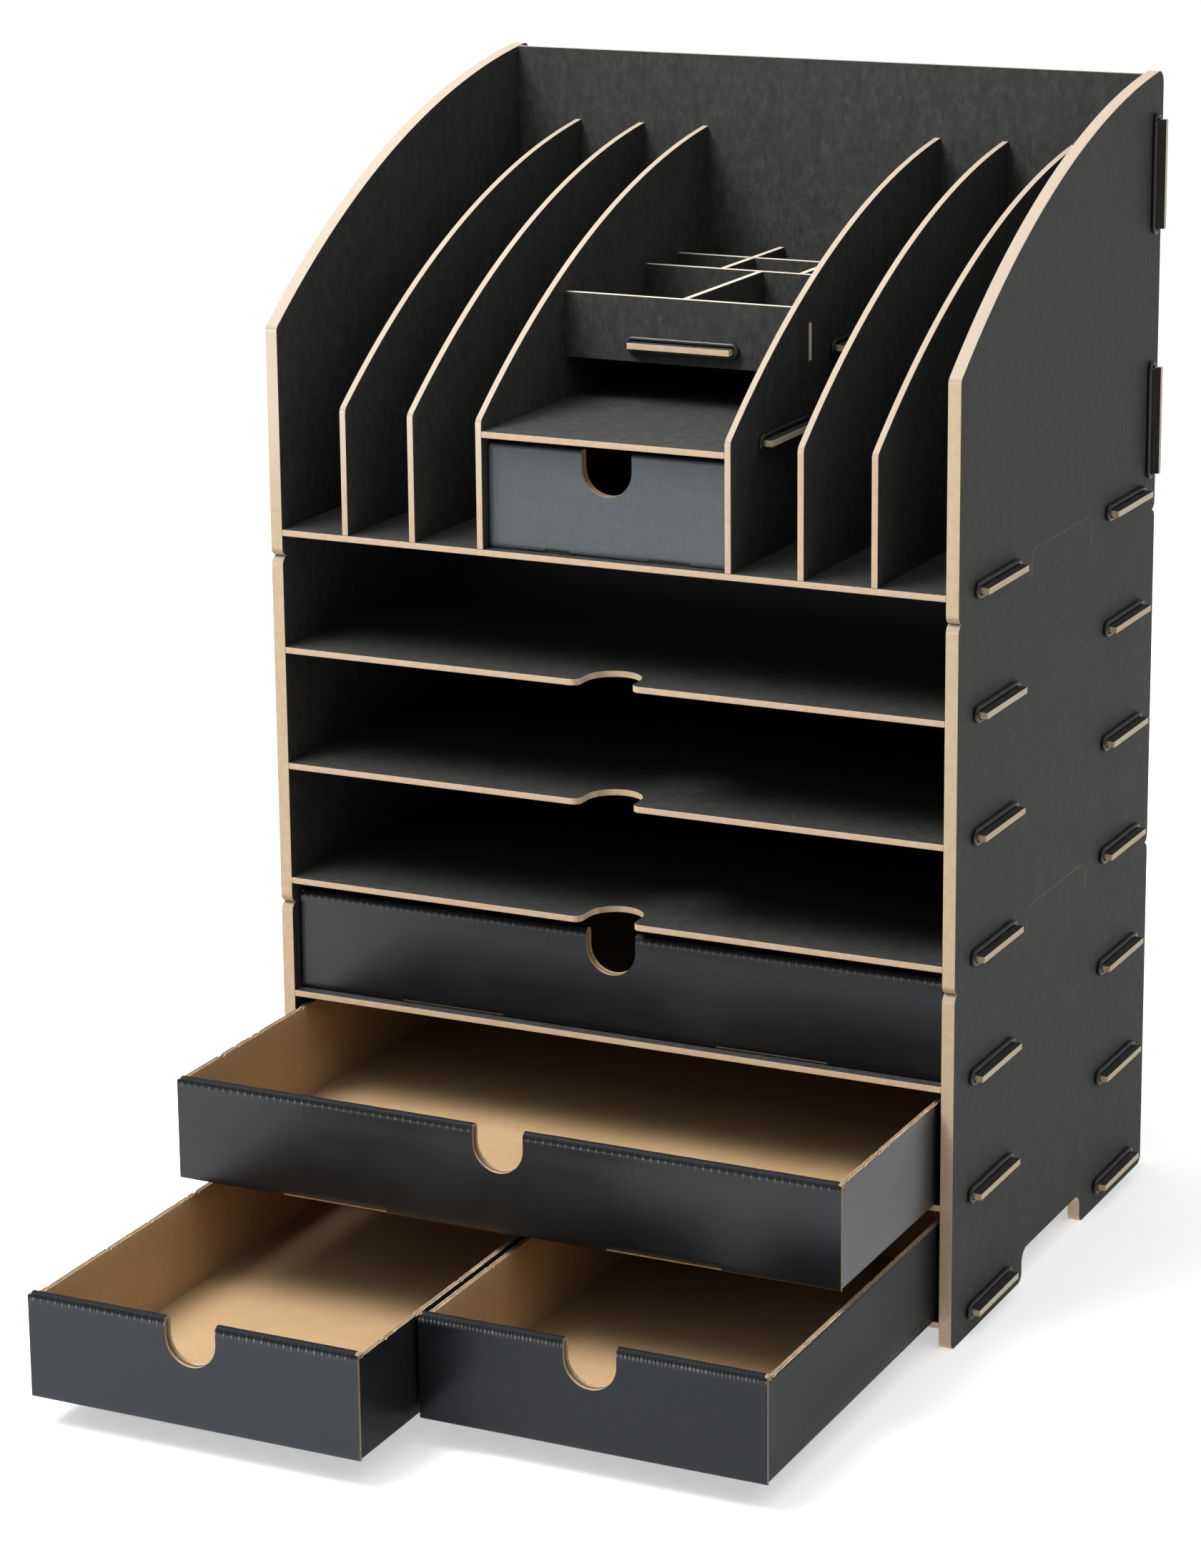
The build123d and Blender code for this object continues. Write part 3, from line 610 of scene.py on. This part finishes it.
def add_flutes(shape, start, along, outward, length, height, seed):
    """Medium between the two liners of a raw edge: a wave across the flutes, a wandering strip along."""
    across = abs(along.x) > 0.5
    middle = (wall - wall_setback) / 2
    swing = middle - liner - flute_thickness / 2
    up = Vector((0.0, 0.0, 1.0))
    count = round(length / (flute_length / 8))
    loops = []
    for i in range(count + 1):
        place = length * i / count
        if across:
            s = middle + swing * math.sin(2 * math.pi * place / flute_length)
        else:
            s = middle + swing * (2.0 * ripple(seed + 6, place, 40.0) - 1.0)
        top = height - flute_sink - flute_tear * ripple(seed + 4, place, 420.0)
        foot = height - raw_depth - flute_foot
        base = start + along * place
        corners = ((-1, foot), (1, foot), (1, top), (-1, top))
        loops.append([base + outward * (s + side * flute_thickness / 2) + up * v for side, v in corners])
    sweep(shape, loops, [EDGE] * 4, EDGE)


def add_floor(shape, low, high, seed):
    """Floor panel between the walls, a little uneven."""
    x0, x1 = low.x + wall - overlap, high.x - wall + overlap
    y0, y1 = low.y + sheet - overlap, high.y - wall + overlap
    columns, rows = 12, 16
    xs = [x0 + (x1 - x0) * i / columns for i in range(columns + 1)]
    loops = []
    for j in range(rows + 1):
        y = y0 + (y1 - y0) * j / rows
        under = [(x, y, low.z + floor_lift) for x in xs]
        over = [(x, y, low.z + sheet - floor_dip * ripple(seed + y * 30.0, x, 20.0)) for x in reversed(xs)]
        loops.append(under + over)
    sides = [OUTSIDE] * columns + [EDGE] + [INSIDE] * columns + [EDGE]
    sweep(shape, loops, sides, EDGE)


def notch_cutter(low, high, edge):
    """Round-bottomed prism that cuts the finger notch through both layers of the front."""
    shape = bmesh.new()
    middle, radius = (low.x + high.x) / 2, notch_width / 2
    turn = high.z - notch_straight
    outline = [(middle + x, z) for x, z in arc(0.0, turn, radius, 180, 360, 32)]
    outline += [(middle + radius, high.z + cutter_rise), (middle - radius, high.z + cutter_rise)]
    depths = (-cutter_reach, front_depth + cutter_reach)
    loops = [[(x, low.y + depth, z) for x, z in outline] for depth in depths]
    sweep(shape, loops, [0] * len(outline), 0)
    return make_object("notch_cutter", shape, [edge])


def make_object(name, shape, materials):
    """Object from a built shape, with its faces turned outwards and its materials."""
    bmesh.ops.recalc_face_normals(shape, faces=shape.faces)
    mesh = bpy.data.meshes.new(name)
    shape.to_mesh(mesh)
    shape.free()
    for material in materials:
        mesh.materials.append(material)
    made = bpy.data.objects.new(name, mesh)
    bpy.context.scene.collection.objects.link(made)
    return made


def cut_notch(made, cutter):
    """Cut the finger notch out of a front, and drop the cutter."""
    cut = made.modifiers.new("notch", "BOOLEAN")
    cut.operation = "DIFFERENCE"
    cut.solver = "EXACT"
    cut.material_mode = "TRANSFER"
    cut.object = cutter
    bpy.context.view_layer.update()
    done = bpy.data.meshes.new_from_object(made.evaluated_get(bpy.context.evaluated_depsgraph_get()))
    made.modifiers.clear()
    made.data = done
    bpy.data.objects.remove(cutter)


def new_shape():
    """Empty shape with places for the crease ticks' wear and painted highlight, and for the rolled edge."""
    shape = bmesh.new()
    shape.verts.layers.float.new("wear_and_highlight")
    shape.verts.layers.float.new("rolled")
    return shape


def make_drawer(node, marks, ticks, drop, roll, seed, materials):
    """One folded card drawer in place of its plain solid."""
    low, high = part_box(node)
    height = high.z - low.z
    front = new_shape()
    add_front(front, low, high, marks, ticks, roll, seed)
    piece = make_object(f"{node}_front", front, materials)
    cut_notch(piece, notch_cutter(low, high, materials[EDGE]))

    body = new_shape()
    body.from_mesh(piece.data)
    bpy.data.objects.remove(piece)
    right, back = Vector((1.0, 0.0, 0.0)), Vector((0.0, 1.0, 0.0))
    length = high.y - low.y - sheet - corner_gap
    tucked = front_depth - sheet - corner_gap
    for side, x in ((1, high.x - wall), (-1, low.x + wall)):
        start = Vector((x, low.y + sheet + corner_gap, low.z))
        add_wall(body, start, back, right * side, length, height, drop, seed + side * side_seed, tucked)
    start = Vector((low.x + wall - overlap, high.y - wall, low.z))
    span = high.x - low.x - 2 * wall + 2 * overlap
    add_wall(body, start, right, back, span, height, drop, seed + back_seed, -flute_margin)
    add_floor(body, low, high, seed)
    drawer = make_object(f"{node}_card", body, materials)
    drawer.data.set_sharp_from_angle(angle=math.radians(smooth_angle))
    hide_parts(node)
    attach(drawer, node)


# Studio

def make_camera():
    """Camera at the photograph's place, with its lens and small shift."""
    azimuth, elevation, roll = (math.radians(a) for a in (camera_azimuth, camera_elevation, camera_roll))
    forward = Vector((-math.sin(azimuth) * math.cos(elevation), math.cos(azimuth) * math.cos(elevation),
                      -math.sin(elevation)))
    right = Vector((math.cos(azimuth), math.sin(azimuth), 0.0))
    up = right.cross(forward)
    rolled_right = math.cos(roll) * right + math.sin(roll) * up
    rolled_up = math.cos(roll) * up - math.sin(roll) * right
    lens = bpy.data.cameras.new("camera")
    lens.sensor_width = sensor_width
    lens.lens = focal_pixels / image_height * sensor_width
    lens.shift_x = -centre_offset_pixels[0] / image_height
    lens.shift_y = centre_offset_pixels[1] / image_height
    camera = bpy.data.objects.new("camera", lens)
    camera.matrix_world = Matrix.Translation(camera_place) @ Matrix(
        (rolled_right, rolled_up, -forward)).transposed().to_4x4()
    bpy.context.scene.collection.objects.link(camera)
    bpy.context.scene.camera = camera


def make_floor():
    """Wide floor that fills the view to its top."""
    shape = bmesh.new()
    bmesh.ops.create_grid(shape, x_segments=8, y_segments=8, size=floor_half_width)
    floor = make_object("floor", shape, [floor_material()])
    floor.visible_diffuse = False


def add_light(name, place, size, power):
    """Soft square light that points at the organizer."""
    light = bpy.data.lights.new(name, "AREA")
    light.shape = "RECTANGLE"
    light.size, light.size_y = size, size
    light.energy = power
    made = bpy.data.objects.new(name, light)
    made.location = place
    made.rotation_euler = (Vector(light_target) - Vector(place)).to_track_quat("-Z", "Y").to_euler()
    bpy.context.scene.collection.objects.link(made)


def make_light():
    """White room, brighter overhead and low on its left, and two soft lights from the upper left front."""
    world = bpy.data.worlds.new("studio")
    world.use_nodes = True
    tree = world.node_tree
    way = add(tree, "ShaderNodeTexCoord").outputs["Generated"]
    aim = add(tree, "ShaderNodeSeparateXYZ", {0: way}).outputs
    above = ranged(tree, aim["Z"], 0.15, 0.85, 0.14, 1.0)
    under = ranged(tree, aim["Z"], -0.05, 0.0, 1.0, 0.0)
    below = math_of(tree, "MULTIPLY", under, ranged(tree, aim["X"], -0.6, 0.6, 0.95, 0.3))
    strength = math_of(tree, "ADD", above, below)
    tree.links.new(strength, tree.nodes["Background"].inputs["Strength"])
    tree.nodes["Background"].inputs["Color"].default_value = (1.0, 1.0, 1.0, 1.0)
    bpy.context.scene.world = world
    for name, look in lights.items():
        add_light(name, *look)
    bpy.context.scene.view_settings.view_transform = "Standard"


dress_case()
prints = {name: print_material(name, *look) for name, look in print_looks.items()}
kraft, raw_card = card_inside_material(), card_edge_material()
for number, (drawer_name, look) in enumerate(drawer_looks.items()):
    marks, ticks, between, drop, roll, front_print, side_print = look
    card = [prints[front_print], kraft, raw_card, prints[side_print]]
    make_drawer(drawer_name, marks, (ticks, between), drop, roll, first_seed + seed_step * number, card)
make_camera()
make_floor()
make_light()
